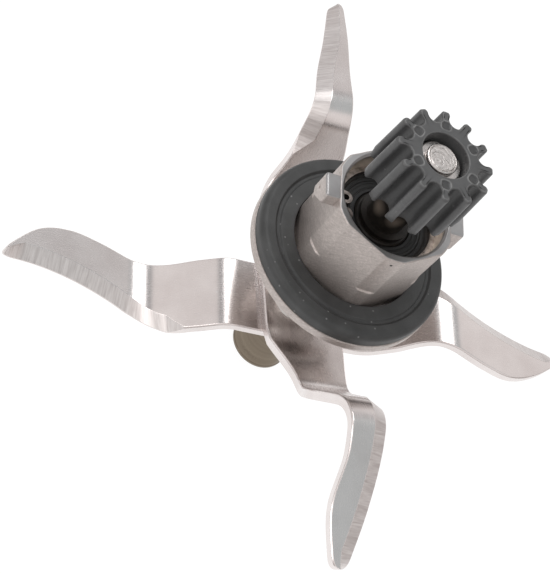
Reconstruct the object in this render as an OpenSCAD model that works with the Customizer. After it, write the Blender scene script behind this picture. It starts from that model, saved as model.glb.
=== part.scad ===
// Blender blade assembly: a sealed ball-bearing housing with four bent blades on one end
// of its shaft and a splined drive gear on the other.
// The frame: +Z runs along the shaft and out of the drive gear, X runs along the blade
// next to the cap, and the origin is on the shaft's axis in the flange's seat face.

/* [Housing] */
// Radius of the flange that closes the hole in the jar's base
flange_r = 20.5; // [18:0.1:26]
// Thickness of the flange
flange_t = 2.9; // [2:0.1:5]
// Height of the sloping band on the blade side of the flange's rim
flange_slope = 1.1; // [0.4:0.1:1.6]
// Outer radius of the round body next to the flange
body_r = 13.3; // [13:0.1:15]
// Outer radius of the rest of the body, up to its open mouth
mouth_r = 12.9; // [12.6:0.1:13]
// Length of the body from the seat face to its open mouth
body_len = 19.7; // [18.8:0.1:26]
// Distance from the axis to the two spanner flats on the body
flat_reach = 12; // [11.8:0.05:12.4]
// Distance from the axis to the narrow facets on both sides of each flat
facet_reach = 12.65; // [12.5:0.05:12.8]
// Angle between a spanner flat and the facets beside it
facet_turn = 29.5; // [25:0.5:35]
// Length of the flats and facets, measured from the mouth
flat_len = 11.7; // [8:0.1:14]
// Direction of the first spanner flat round the axis
flat_turn = -124.5; // [-180:0.5:180]
// Thickness of the web between the bearings and the shaft seal
web_t = 2; // [1.2:0.1:4]
// Radius of the neck's end, round the shaft seal
neck_r = 9.9; // [9.2:0.1:11]
// Length of the sloping shoulder that leads down to the neck
neck_slope_len = 5; // [3:0.1:6]

/* [Bayonet lugs] */
// Distance from the axis to the outer end of a lug
lug_reach = 15; // [14.4:0.1:17]
// Width of a lug across its sides
lug_w = 4.9; // [3:0.1:7]
// Height of a lug along the axis
lug_h = 6; // [4:0.1:7]
// Chamfer on the long edges of a lug
lug_chamfer = 1.1; // [0.3:0.1:1.4]
// Direction of the first lug round the axis
lug_turn = -3; // [-180:0.5:180]

/* [Jar seal] */
// Outer radius of the rubber ring that seals the jar
seal_r = 20.3; // [18:0.1:20.5]
// Gap between the body and the inside of the ring
seal_gap = 0.5; // [0.2:0.1:0.9]
// Height of the ring above the seat face
seal_h = 3.1; // [2.2:0.1:4]
// Radius of the ring's rounded outer corner
seal_round = 1.5; // [0.5:0.1:1.8]
// Radius of the groove line round the middle of the ring
seal_groove_r = 16.6; // [15.6:0.1:17.4]

/* [Bearings] */
// Outer radius of both ball bearings
bearing_r = 11; // [10.9:0.05:11.1]
// Width of both ball bearings
bearing_w = 7; // [6.8:0.1:7.2]
// Radius of the balls
ball_r = 1.985; // [1.9:0.005:2.05]
// Number of balls in each bearing
ball_count = 7; // [6:1:7]
// Running clearance between a ball and its groove
ball_gap = 0.05; // [0.02:0.01:0.1]
// Distance between the two bearings
bearing_gap = 5.5; // [4:0.1:8]
// Thickness of the retaining ring in the housing
ring_t = 1; // [0.8:0.1:1.4]
// Depth of the retaining ring below the mouth
ring_inset = 4.4; // [2:0.1:5]
// Depth of the retaining ring's groove
ring_groove = 0.4; // [0.3:0.05:0.4]
// Width of the retaining ring's band inside the groove
ring_w = 1.1; // [0.8:0.1:1.4]

/* [Shaft] */
// Radius of the shaft in the bearings
shaft_r = 4; // [3.9:0.05:4.1]
// Distance across the flats that drive the gear and the blades
shaft_flats = 6; // [5.4:0.1:6.8]
// Radius of the riveted head inside the gear
rivet_r = 3.15; // [2.8:0.05:3.4]
// Height of the riveted head
rivet_h = 1.1; // [0.8:0.1:1.3]
// Radius of the shaft's end below the riveted head
rivet_neck_r = 2.6; // [2.2:0.1:2.7]
// Radius of the threaded end inside the cap
thread_r = 3; // [2.4:0.1:3]
// Length of the threaded end
thread_len = 9.5; // [6:0.1:11]
// Direction of the flats that drive the gear
gear_flats_turn = -37.5; // [-180:0.5:180]
// Clearance between the shaft's flats and the holes that fit them
fit_gap = 0.05; // [0.02:0.01:0.1]
// Outer radius of the hardened sleeve that the shaft seal runs on
sleeve_r = 5.2; // [4.8:0.1:5.6]
// Running clearance between the seal lip and the sleeve
lip_gap = 0.05; // [0.02:0.01:0.1]

/* [Drive gear] */
// Radius over the gear's teeth
gear_r = 10; // [9:0.1:10.4]
// Number of teeth
gear_teeth = 12; // [10:1:13]
// Radius at the bottom of the valleys between the teeth
gear_root_r = 7.2; // [6.9:0.05:7.4]
// Radius of the rounded bottom of a valley
gear_valley_r = 1.6; // [1.2:0.05:1.7]
// Radius of the rounded crest of a tooth
gear_crest_r = 0.75; // [0.5:0.05:0.8]
// Length of the gear
gear_len = 12.4; // [8:0.1:14]
// Height of the gear's free face above the seat face
gear_face_z = 37.8; // [36:0.1:44]
// Height of the slope at the free end of the teeth
gear_slope_h = 0.5; // [0.3:0.1:3]
// Width of the slope at the free end of the teeth
gear_slope_w = 0.3; // [0.2:0.1:1.4]
// Radius of the recess round the riveted end
gear_recess_r = 4.8; // [4.7:0.05:5.2]
// Depth of the recess
gear_recess_h = 3.4; // [2.5:0.1:5]
// Height of the shaft's riveted end below the gear's free face
rivet_drop = 1.2; // [0.8:0.1:1.6]
// Direction of the first tooth round the axis
gear_turn = -5; // [-15:0.5:15]
// Radius of the six round marks in the free face
mark_r = 1; // [0.6:0.05:1.1]
// Distance from the axis to the marks
mark_reach = 6.6; // [6.3:0.05:6.8]

/* [Blades] */
// Thickness of the blade sheet
sheet_t = 2; // [1.5:0.1:2.5]
// Radius of every bend, on the gear side of the sheet
bend_r = 7.5; // [5:0.1:9]
// Width of the ground cutting bevel
bevel_w = 3.2; // [2:0.1:4]
// Length over which the ground bevel widens from nothing
bevel_runout = 4; // [3:0.1:6]
// Length over which an arm's tip is rounded
tip_round_len = 2.6; // [2:0.1:3.4]
// Thickness left at the cutting edge
edge_t = 0.4; // [0.2:0.05:0.8]
// Small break on the edges that are not ground
edge_break = 0.3; // [0.1:0.05:0.5]
// Angle between the two blades
blade_cross = -86.8; // [-100:0.5:-80]
// Half of the width of the blade next to the cap, at its hub
cap_blade_half = 8; // [7:0.1:9]
// Length along the sheet from the axis to each tip of the blade next to the cap
cap_blade_len = 64.2; // [58:0.1:68]
// Distance from the axis at which the blade next to the cap starts to narrow
cap_blade_start = 22; // [19:0.5:25]
// Distance from the axis at which its ground bevel starts
cap_bevel_start = 24.5; // [23:0.5:28]
// Distance along the sheet to the first bend of the blade next to the cap
cap_bend_1 = 15.6; // [13:0.1:17]
// Distance along the sheet to the second bend of the blade next to the cap
cap_bend_2 = 33.8; // [28:0.1:35]
// Angle of the first bend on the arm next to the cap that rises towards the gear
cap_angle_1 = 39.9; // [30:0.1:44]
// Angle of the second bend on the rising arm
cap_angle_2 = 49.9; // [36:0.1:54]
// Angle of the first bend on the arm next to the cap that falls away from the gear
cap_other_1 = 36.5; // [30:0.1:44]
// Angle of the second bend on the falling arm
cap_other_2 = 44; // [36:0.1:54]
// Half of the width of the blade next to the flange, at its hub
low_blade_half = 8.45; // [7:0.05:9]
// Length along the sheet from the axis to each tip of the blade next to the flange
low_blade_len = 76.1; // [70:0.1:79]
// Distance from the axis at which the blade next to the flange starts to narrow
low_blade_start = 10.7; // [9:0.1:13]
// Distance from the axis at which its ground bevel starts
low_bevel_start = 33.5; // [31:0.5:37]
// Distance along the sheet to the first bend of the blade next to the flange
low_bend_1 = 7.3; // [7.3:0.1:9]
// Distance along the sheet to the second bend of the blade next to the flange
low_bend_2 = 23.8; // [22:0.1:26]
// Distance along the sheet to the third bend of the blade next to the flange
low_bend_3 = 45.3; // [40:0.1:47]
// Angle of the first bend on the steeper arm of the blade next to the flange
low_angle_1 = 20.2; // [10:0.1:24]
// Angle of the second bend on the steeper arm
low_angle_2 = 40.6; // [30:0.1:44]
// Angle of the third bend on the steeper arm
low_angle_3 = 76.1; // [60:0.1:80]
// Angle of the first bend on the flatter arm of the blade next to the flange
low_other_1 = 6.7; // [5:0.1:20]
// Angle of the second bend on the flatter arm
low_other_2 = 56.3; // [40:0.1:58]
// Angle of the third bend on the flatter arm
low_other_3 = 69.9; // [55:0.1:80]

/* [Blade stack] */
// Running gap between the housing's neck and the blade collar
collar_gap = 0.8; // [0.4:0.1:1.5]
// Length of the blade collar
collar_len = 5.8; // [4.5:0.1:8]
// Radius of the blade collar under the blades
collar_r = 5.8; // [5.4:0.1:5.9]
// Radius of the collar's skirt that throws liquid off the neck
skirt_r = 9.6; // [8.6:0.1:10]
// Thickness of the washer between the blades and the cap
washer_t = 1; // [0.6:0.1:1.6]
// Radius of the washer
washer_r = 6.8; // [6:0.1:7.4]
// Length of the cap from the washer to its rim
cap_len = 14.4; // [12:0.1:18]
// Radius of the cap's rim
cap_r = 6.3; // [5.6:0.1:7.5]
// Radius of the cap's waist
cap_waist_r = 4.1; // [3.8:0.1:4.6]
// Length of the cap's straight waist
cap_waist_len = 5; // [3.5:0.1:6.5]
// Radius of the cap's foot, against the washer
cap_foot_r = 6; // [5.4:0.1:6.6]
// Height of the cap's foot
cap_foot_h = 1.4; // [1:0.1:2]
// Height of the cap's straight rim
cap_rim_h = 0.8; // [0.4:0.1:1.5]
// Height of the cap's domed end
cap_dome_h = 1.8; // [1:0.1:3]

/* [Hidden] */
$fn = 96;
// A little extra length for cutters, so that they pass right through
past = 1;

// Heights along the axis, from the mouth down to the cap
ring_top_z = body_len - ring_inset;
gear_brg_top = ring_top_z - ring_t;
gear_brg_z = gear_brg_top - bearing_w;
blade_brg_top = gear_brg_z - bearing_gap;
blade_brg_z = blade_brg_top - bearing_w;
seal_seat_z = blade_brg_z - web_t;
shaft_seal_w = 7;
neck_z = seal_seat_z - shaft_seal_w;
ledge_z = body_len - flat_len;
ledge_slope = 0.3;
collar_top_z = neck_z - collar_gap;
low_blade_z = collar_top_z - collar_len;
cap_blade_z = low_blade_z - sheet_t;
washer_z = cap_blade_z - sheet_t;
cap_top_z = washer_z - washer_t;
cap_rim_z = cap_top_z - cap_len;
gear_end_z = gear_face_z - gear_len;
rivet_top_z = gear_face_z - rivet_drop;
recess_floor_z = gear_face_z - gear_recess_h;
rivet_washer_gap = 0.4;
gear_boss_h = 1.3;
gear_seat_z = gear_end_z - gear_boss_h;

// Sizes inside the bearings
ball_path_r = (bearing_r + shaft_r) / 2;
race_groove_r = ball_r + ball_gap;
inner_land_r = ball_path_r - 1.55;
outer_land_r = ball_path_r + 1.65;
race_chamfer = 0.3;
shield_t = 0.5;
shield_inset = 0.25;
shield_gap = 0.12;
cage_half = 0.55;
cage_back = 2.45;
cage_front = 1.2;

// Sizes of the shaft seal, which lies in the neck's cavity
shaft_seal_r = 8.0;
seal_case_t = 0.8;
spring_r = 0.6;

// Outlines of the blades' arms: distances of the trailing and cutting edges from the
// strip's middle, in half-widths, at equal steps from where it starts to narrow to the tip
cap_arm_trail = [1, 0.94, 1.15, 1.39, 1.49, 1.2, 0.64];
cap_arm_lead = [1, 0.93, 0.48, 0.13, -0.1, -0.23, -0.27];
cap_other_trail = [1, 0.97, 1.11, 1.33, 1.44, 1.22, 0.46];
cap_other_lead = [1, 0.93, 0.41, 0.07, -0.15, -0.25, -0.24];
low_arm_trail = [1, 0.59, 0.83, 0.58, 0.62, 1, 0.92];
low_arm_lead = [1, 0.75, 0.63, 0.46, 0.31, -0.02, -0.48];
low_other_trail = [1, 0.61, 0.85, 0.62, 0.64, 0.78, 0.85];
low_other_lead = [1, 0.96, 0.6, 0.47, 0.24, -0.14, -0.47];
sheet_step = 1.3;

steel = [0.74, 0.71, 0.69];
cast_steel = [0.67, 0.63, 0.61];
bearing_steel = [0.78, 0.78, 0.79];
gear_grey = [0.33, 0.34, 0.35];
rubber_grey = [0.24, 0.25, 0.25];
rubber_black = [0.08, 0.08, 0.08];
brass_yellow = [0.72, 0.6, 0.38];

// Ring with a rectangular section
module ring(inner, outer, low, high) {
    translate([0, 0, low])
        difference() {
            cylinder(r = outer, h = high - low);
            translate([0, 0, -past]) cylinder(r = inner, h = high - low + 2 * past);
        }
}

// Ring with small chamfers on its four corners
module chamfered_ring(inner, outer, low, high, c) {
    rotate_extrude()
        polygon([[inner + c, low], [outer - c, low], [outer, low + c], [outer, high - c],
            [outer - c, high], [inner + c, high], [inner, high - c], [inner, low + c]]);
}

// Round bar with two parallel flats, the second size being the distance across them
module flatted_bar(r, across, low, high) {
    translate([0, 0, low])
        intersection() {
            cylinder(r = r, h = high - low);
            translate([-r - past, -across / 2, 0]) cube([2 * (r + past), across, high - low]);
        }
}

// Housing: one steel casting, turned and bored
module bearing_housing() {
    color(cast_steel)
        difference() {
            union() {
                rotate_extrude()
                    polygon([[0, neck_z], [neck_r, neck_z], [neck_r, neck_z + 1],
                        [body_r, neck_z + 1 + neck_slope_len], [body_r, -flange_t],
                        [flange_r - flange_slope, -flange_t], [flange_r, -flange_t + flange_slope],
                        [flange_r, 0], [body_r, 0], [body_r, ledge_z - ledge_slope],
                        [body_r - ledge_slope, ledge_z], [0, ledge_z]]);
                translate([0, 0, ledge_z - past]) linear_extrude(flat_len + past) mouth_outline();
                for (side = [0, 180]) rotate([0, 0, lug_turn + side]) lug();
            }
            translate([0, 0, blade_brg_z]) cylinder(r = bearing_r, h = body_len - blade_brg_z + past);
            translate([0, 0, neck_z - past]) cylinder(r = shaft_seal_r, h = shaft_seal_w + past);
            translate([0, 0, seal_seat_z - past])
                cylinder(r = inner_land_r + 0.5, h = web_t + 2 * past);
            translate([0, 0, gear_brg_top]) cylinder(r = bearing_r + ring_groove, h = ring_t);
            translate([0, 0, body_len - 0.5])
                cylinder(r1 = bearing_r, r2 = bearing_r + 0.5 + past, h = 0.5 + past);
        }
}

// Outline of the body above its ledge: round, with two spanner flats and a facet on each
// side of both
module mouth_outline() {
    difference() {
        circle(r = mouth_r);
        for (side = [0, 180]) rotate(flat_turn + side) {
            translate([flat_reach, -mouth_r]) square([mouth_r, 2 * mouth_r]);
            for (turn = [-facet_turn, facet_turn])
                rotate(turn) translate([facet_reach, -mouth_r]) square([mouth_r, 2 * mouth_r]);
        }
    }
}

// One bayonet lug: a block with chamfered long edges, flush with the mouth
module lug() {
    root = bearing_r + 0.8;
    half = lug_w / 2;
    c = lug_chamfer;
    low = body_len - lug_h;
    rotate([90, 0, 90])
        translate([0, 0, root])
            linear_extrude(lug_reach - root)
                polygon([[-half, low + c], [-half + c, low], [half - c, low], [half, low + c],
                    [half, body_len - c], [half - c, body_len], [-half, body_len]]);
}

// Jar seal: a moulded rubber ring with a rounded rim, a groove line and a lower inner lip
module jar_seal() {
    inner = body_r + seal_gap;
    lip_h = seal_h - 0.5;
    color(rubber_grey)
        rotate_extrude()
            difference() {
                union() {
                    translate([inner + 0.8, 0]) square([seal_r - seal_round - inner - 0.8, lip_h]);
                    translate([seal_groove_r, 0]) square([seal_r - seal_round - seal_groove_r, seal_h]);
                    translate([inner, 0]) square([1, lip_h - 0.8]);
                    translate([inner + 0.8, lip_h - 0.8]) circle(r = 0.8);
                    translate([seal_r - seal_round - 0.1, 0]) square([seal_round + 0.1, seal_h - seal_round]);
                    translate([seal_r - seal_round, seal_h - seal_round]) circle(r = seal_round);
                }
                translate([seal_groove_r, seal_h]) circle(r = 0.7);
            }
}

// Outer ring of a ball bearing whose lower face is at height z
module outer_race(z) {
    color(bearing_steel)
        difference() {
            chamfered_ring(outer_land_r, bearing_r, z, z + bearing_w, race_chamfer);
            translate([0, 0, z + bearing_w / 2])
                rotate_extrude() translate([ball_path_r, 0]) circle(r = race_groove_r);
            for (low = [z + shield_inset, z + bearing_w - shield_inset - shield_t])
                ring(outer_land_r - past, outer_land_r + 0.3, low, low + shield_t);
        }
}

// Inner ring of a ball bearing whose lower face is at height z
module inner_race(z) {
    color(bearing_steel)
        difference() {
            chamfered_ring(shaft_r, inner_land_r, z, z + bearing_w, race_chamfer);
            translate([0, 0, z + bearing_w / 2])
                rotate_extrude() translate([ball_path_r, 0]) circle(r = race_groove_r);
        }
}

// Balls of a bearing whose lower face is at height z
module balls(z) {
    color(bearing_steel)
        for (i = [0 : ball_count - 1])
            rotate([0, 0, 360 * i / ball_count])
                translate([ball_path_r, 0, z + bearing_w / 2]) sphere(r = ball_r);
}

// Cage that keeps the balls of a bearing apart: a moulded crown, its back beside the
// balls and its prongs between them
module cage(z) {
    middle = z + bearing_w / 2;
    color(brass_yellow)
        difference() {
            ring(ball_path_r - cage_half, ball_path_r + cage_half, middle - cage_front, middle + cage_back);
            for (i = [0 : ball_count - 1])
                rotate([0, 0, 360 * i / ball_count])
                    translate([ball_path_r, 0, middle]) sphere(r = race_groove_r);
        }
}

// Two rubber shields snapped into the outer ring of a bearing, clear of the inner ring
module shields(z) {
    color(rubber_black)
        for (low = [z + shield_inset, z + bearing_w - shield_inset - shield_t])
            difference() {
                ring(inner_land_r + shield_gap, outer_land_r + 0.3, low, low + shield_t);
                if (low > z + bearing_w / 2)
                    for (r = [inner_land_r + 0.9, outer_land_r - 0.7])
                        ring(r, r + 0.25, low + shield_t - 0.15, low + shield_t + past);
            }
}

module outer_spacer() {
    color(steel)
        chamfered_ring(outer_land_r + 0.4, bearing_r, blade_brg_top, gear_brg_z, race_chamfer);
}

module inner_spacer() {
    color(steel)
        chamfered_ring(shaft_r, inner_land_r - 0.4, blade_brg_top, gear_brg_z, race_chamfer);
}

// Retaining ring in the housing: an open ring in its groove, with an eyed ear at each end
module housing_retaining_ring() {
    ear_r = 1.35;
    eye_r = 0.65;
    ear_reach = bearing_r - ring_w - ear_r + 0.05;
    ear_turn = 12;
    gap_half = 2.3;
    gap_turn = 178;
    color(steel)
        translate([0, 0, gear_brg_top])
            rotate([0, 0, gap_turn])
                linear_extrude(ring_t)
                    difference() {
                        union() {
                            difference() {
                                circle(r = bearing_r + ring_groove);
                                circle(r = bearing_r - ring_w);
                                polygon([[0, 0], [2 * bearing_r, -2 * gap_half], [2 * bearing_r, 2 * gap_half]]);
                            }
                            for (side = [-1, 1])
                                rotate([0, 0, side * ear_turn]) {
                                    translate([ear_reach, 0]) circle(r = ear_r);
                                    translate([ear_reach, -ear_r])
                                        square([bearing_r - ear_reach, 2 * ear_r]);
                                }
                        }
                        for (side = [-1, 1])
                            rotate([0, 0, side * ear_turn])
                                translate([ear_reach, 0]) circle(r = eye_r);
                    }
}

// Retaining ring in the shaft's groove, against the bearing at the gear end
module shaft_retaining_ring() {
    color(steel)
        translate([0, 0, gear_brg_top])
            linear_extrude(ring_t)
                difference() {
                    circle(r = shaft_r + 1.3);
                    circle(r = shaft_r - ring_groove);
                    polygon([[0, 0], [2 * shaft_r, -1.8], [2 * shaft_r, 1.8]]);
                }
}

// Pressed steel case of the shaft seal
module shaft_seal_case() {
    color(steel)
        rotate_extrude()
            polygon([[shaft_seal_r, seal_seat_z], [shaft_seal_r, neck_z + 0.3],
                [shaft_seal_r - seal_case_t, neck_z + 0.3],
                [shaft_seal_r - seal_case_t, seal_seat_z - seal_case_t],
                [sleeve_r + 1, seal_seat_z - seal_case_t], [sleeve_r + 1, seal_seat_z]]);
}

// Rubber body and lip of the shaft seal, running on the sleeve
module shaft_seal_lip() {
    inside = shaft_seal_r - seal_case_t;
    lip = sleeve_r + lip_gap;
    root_z = seal_seat_z - seal_case_t;
    color(rubber_black)
        rotate_extrude()
            difference() {
                polygon([[inside, root_z], [inside, neck_z + 0.3], [inside - 0.7, neck_z + 0.3],
                    [inside - 0.7, root_z - 0.9], [lip + 1, root_z - 0.9], [lip + 1.1, neck_z + 1.6],
                    [lip + 0.5, neck_z + 1], [lip, neck_z + 1.8], [lip + 0.35, root_z - 0.6],
                    [lip + 0.7, root_z]]);
                translate([lip + 1.1, neck_z + 2.4]) circle(r = spring_r);
            }
}

// Wire spring that draws the seal's lip in
module seal_garter_spring() {
    color(bearing_steel)
        rotate_extrude()
            translate([sleeve_r + lip_gap + 1.1, neck_z + 2.4]) circle(r = spring_r);
}

// Shaft: turned in one piece, flatted at both ends, riveted at one and threaded at the other
module drive_shaft() {
    edge = 0.3;
    dish_r = rivet_r - 0.7;
    color(steel)
        difference() {
            rotate_extrude()
                polygon([[0, washer_z - thread_len], [thread_r - edge, washer_z - thread_len],
                    [thread_r, washer_z - thread_len + edge], [thread_r, washer_z + edge],
                    [shaft_r, washer_z + edge], [shaft_r, gear_brg_top], [shaft_r - ring_groove, gear_brg_top],
                    [shaft_r - ring_groove, ring_top_z], [shaft_r, ring_top_z],
                    [shaft_r, recess_floor_z - edge], [rivet_neck_r, recess_floor_z - edge],
                    [rivet_neck_r, rivet_top_z - rivet_h], [rivet_r, rivet_top_z - rivet_h],
                    [rivet_r, rivet_top_z - edge], [rivet_r - edge, rivet_top_z],
                    [dish_r, rivet_top_z], [dish_r - edge, rivet_top_z - edge], [0, rivet_top_z - edge]]);
            rotate([0, 0, gear_flats_turn]) flats(gear_seat_z, recess_floor_z);
            flats(washer_z, low_blade_z);
        }
}

// The two pieces that are milled away beside the shaft's flats
module flats(low, high) {
    for (side = [0, 180])
        rotate([0, 0, side])
            translate([-shaft_r - past, shaft_flats / 2, low])
                cube([2 * (shaft_r + past), shaft_r, high - low]);
}

// Washer in the gear's recess, under the shaft's riveted head
module rivet_washer() {
    color(bearing_steel)
        chamfered_ring(rivet_neck_r + fit_gap, gear_recess_r - rivet_washer_gap, recess_floor_z,
            rivet_top_z - rivet_h, 0.2);
}

// Outline of the gear: tapered teeth with round crests and round-bottomed valleys
module gear_outline() {
    step = 360 / gear_teeth;
    valley_reach = gear_root_r + gear_valley_r;
    crest_reach = gear_r - gear_crest_r;
    open_half = crest_reach * sin(step / 2) - gear_crest_r;
    difference() {
        circle(r = crest_reach);
        for (i = [0 : gear_teeth - 1])
            rotate([0, 0, (i + 0.5) * step]) {
                translate([valley_reach, 0]) circle(r = gear_valley_r);
                polygon([[valley_reach, -gear_valley_r], [crest_reach, -open_half],
                    [gear_r, -open_half], [gear_r, open_half], [crest_reach, open_half],
                    [valley_reach, gear_valley_r]]);
            }
    }
    for (i = [0 : gear_teeth - 1])
        rotate([0, 0, i * step]) translate([crest_reach, 0]) circle(r = gear_crest_r);
}

// Drive gear: moulded plastic with a recess round the riveted end of the shaft
module drive_gear() {
    foot_slope = 0.7;
    color(gear_grey)
        difference() {
            union() {
                intersection() {
                    translate([0, 0, gear_end_z])
                        rotate([0, 0, gear_turn]) linear_extrude(gear_len) gear_outline();
                    rotate_extrude()
                        polygon([[0, gear_end_z], [gear_r - foot_slope, gear_end_z],
                            [gear_r, gear_end_z + foot_slope], [gear_r, gear_face_z - gear_slope_h],
                            [gear_r - gear_slope_w, gear_face_z], [0, gear_face_z]]);
                }
                translate([0, 0, gear_seat_z]) cylinder(r = shaft_r + 1.6, h = gear_boss_h + past);
            }
            translate([0, 0, recess_floor_z])
                cylinder(r = gear_recess_r, h = gear_recess_h + past);
            rotate([0, 0, gear_flats_turn])
                flatted_bar(shaft_r + fit_gap, shaft_flats + 2 * fit_gap, gear_seat_z - past, gear_face_z);
            for (i = [0 : 5])
                rotate([0, 0, gear_turn + 30 + 60 * i])
                    translate([mark_reach, 0, gear_face_z - 0.3]) cylinder(r = mark_r, h = 0.3 + past);
        }
}

module seal_sleeve() {
    color(bearing_steel) chamfered_ring(shaft_r, sleeve_r, collar_top_z, blade_brg_z, race_chamfer);
}

// Collar that carries the blades, with a thin skirt over the end of the neck
module blade_collar() {
    color(steel)
        rotate_extrude()
            polygon([[shaft_r, low_blade_z], [collar_r, low_blade_z], [collar_r, collar_top_z - 2.4],
                [skirt_r, collar_top_z - 1.2], [skirt_r, collar_top_z], [shaft_r, collar_top_z]]);
}

// Value at t (0 to 1) on a smooth curve through equally spaced values
function curve(v, t) =
    let (n = len(v) - 1, x = min(max(t, 0), 1) * n, i = min(floor(x), n - 1), f = x - i)
    let (b = v[i], c = v[i + 1])
    let (a = i > 0 ? v[i - 1] : 2 * b - c, d = i + 2 <= n ? v[i + 2] : 2 * c - b)
    (2 * b + (c - a) * f + (2 * a - 5 * b + 4 * c - d) * f * f + (3 * b - 3 * c + d - a) * f * f * f) / 2;

// Length of sheet that a bend uses, from its angle in degrees
function bend_len(angle) = bend_r * abs(angle) * PI / 180;

// Slope of the sheet, in degrees, at distance u along it, after all bends up to there
function slope(bends, u) = bends == [] ? 0 :
    let (b = bends[0], l = bend_len(b[1]), done = min(max((u - b[0] + l / 2) / l, 0), 1))
    b[1] * done + slope([for (i = [1 : 1 : len(bends) - 1]) bends[i]], u);

// Path of the sheet's gear side: a list of [distance along the sheet, reach, height, slope]
function sheet_path(bends, stations) =
    [for (i = 0, x = 0, z = 0, a = 0; i < len(stations);
        i = i + 1,
        s = i < len(stations) ? slope(bends, stations[i]) : 0,
        m = (a + s) / 2,
        d = i < len(stations) ? stations[i] - stations[i - 1] : 0,
        x = x + d * cos(m), z = z + d * sin(m), a = s)
        [stations[i], x, z, a]];

// Distances along one arm at which its section is taken, closer together round the tip
function stations(length) =
    let (n = floor((length - tip_round_len) / sheet_step))
    concat([for (i = [0 : n]) i * (length - tip_round_len) / n],
        [for (k = [0.3, 0.55, 0.75, 0.9, 0.98]) length - tip_round_len + k * tip_round_len]);

// Width of the ground bevel at distance u: it starts over a short run-out
function bevel_share(start, u) = min(max((u - start) / bevel_runout, 0), 1);

// The six corners of the sheet's section at one point of an arm, in the arm's own frame.
// The arm runs along X with its cutting edge towards +Y and its gear side up.
function section(p, length, start, half, trail, lead, bevel_start) =
    let (u = p[0], t = (u - start) / (length - start))
    let (v0 = -half * curve(trail, t), v1 = half * curve(lead, t), middle = (v0 + v1) / 2)
    let (over = max(u - length + tip_round_len, 0) / tip_round_len, k = pow(max(1 - pow(over, 3), 0), 1 / 3))
    let (y0 = middle + (v0 - middle) * k, y1 = middle + (v1 - middle) * k, w = y1 - y0)
    let (g = bevel_share(bevel_start, u))
    let (bw = min(edge_break + g * (bevel_w - edge_break), 0.6 * w), e = min(edge_break, 0.2 * w))
    let (bh = edge_break + g * (sheet_t - edge_t - edge_break))
    [for (q = [[y0, -edge_break], [y0 + e, 0], [y1 - bw, 0], [y1, -bh], [y1, -sheet_t], [y0, -sheet_t]])
        [p[1] - q[1] * sin(p[3]), q[0], p[2] + q[1] * cos(p[3])]];

// Turns an arm's section half a turn round the axis and puts its corners in the order
// that the first arm's sections have
function turned(s) = [for (i = [3, 2, 1, 0, 5, 4]) [-s[i][0], -s[i][1], s[i][2]]];

// Sections of one arm from the axis to its tip; an arm is given as its bends and the
// outlines of its trailing and cutting edges
function arm_sections(arm, length, start, half, bevel_start) =
    let (path = sheet_path(arm[0], stations(length)))
    [for (p = path) section(p, length, start, half, arm[1], arm[2], bevel_start)];

// Blade: one strip of sheet with an arm each way, bent across its width and ground sharp
module blade(z, turn, length, start, half, bevel_start, arm, other_arm) {
    first = arm_sections(arm, length, start, half, bevel_start);
    second = arm_sections(other_arm, length, start, half, bevel_start);
    rings = concat([for (i = [len(second) - 1 : -1 : 1]) turned(second[i])], first);
    last = len(rings) - 1;
    color(steel)
        translate([0, 0, z])
            rotate([0, 0, turn])
                difference() {
                    polyhedron(
                        points = [for (r = rings) each r],
                        faces = concat(
                            [[for (k = [0 : 5]) k]],
                            [for (i = [0 : last - 1], k = [0 : 5])
                                [6 * i + k, 6 * (i + 1) + k, 6 * (i + 1) + (k + 1) % 6]],
                            [for (i = [0 : last - 1], k = [0 : 5])
                                [6 * i + k, 6 * (i + 1) + (k + 1) % 6, 6 * i + (k + 1) % 6]],
                            [[for (k = [5 : -1 : 0]) 6 * last + k]]),
                        convexity = 4);
                    rotate([0, 0, -turn])
                        flatted_bar(shaft_r + fit_gap, shaft_flats + 2 * fit_gap, -sheet_t - past, past);
                }
}

module flange_side_blade() {
    blade(low_blade_z, blade_cross, low_blade_len, low_blade_start, low_blade_half, low_bevel_start,
        [[[low_bend_1, low_angle_1], [low_bend_2, low_angle_2], [low_bend_3, -low_angle_3]],
            low_arm_trail, low_arm_lead],
        [[[low_bend_1, low_other_1], [low_bend_2, low_other_2], [low_bend_3, -low_other_3]],
            low_other_trail, low_other_lead]);
}

module cap_side_blade() {
    blade(cap_blade_z, 0, cap_blade_len, cap_blade_start, cap_blade_half, cap_bevel_start,
        [[[cap_bend_1, cap_angle_1], [cap_bend_2, -cap_angle_2]], cap_arm_trail, cap_arm_lead],
        [[[cap_bend_1, -cap_other_1], [cap_bend_2, cap_other_2]], cap_other_trail, cap_other_lead]);
}

module blade_washer() {
    color(steel) chamfered_ring(thread_r + 0.2, washer_r, cap_top_z, washer_z, 0.2);
}

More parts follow.
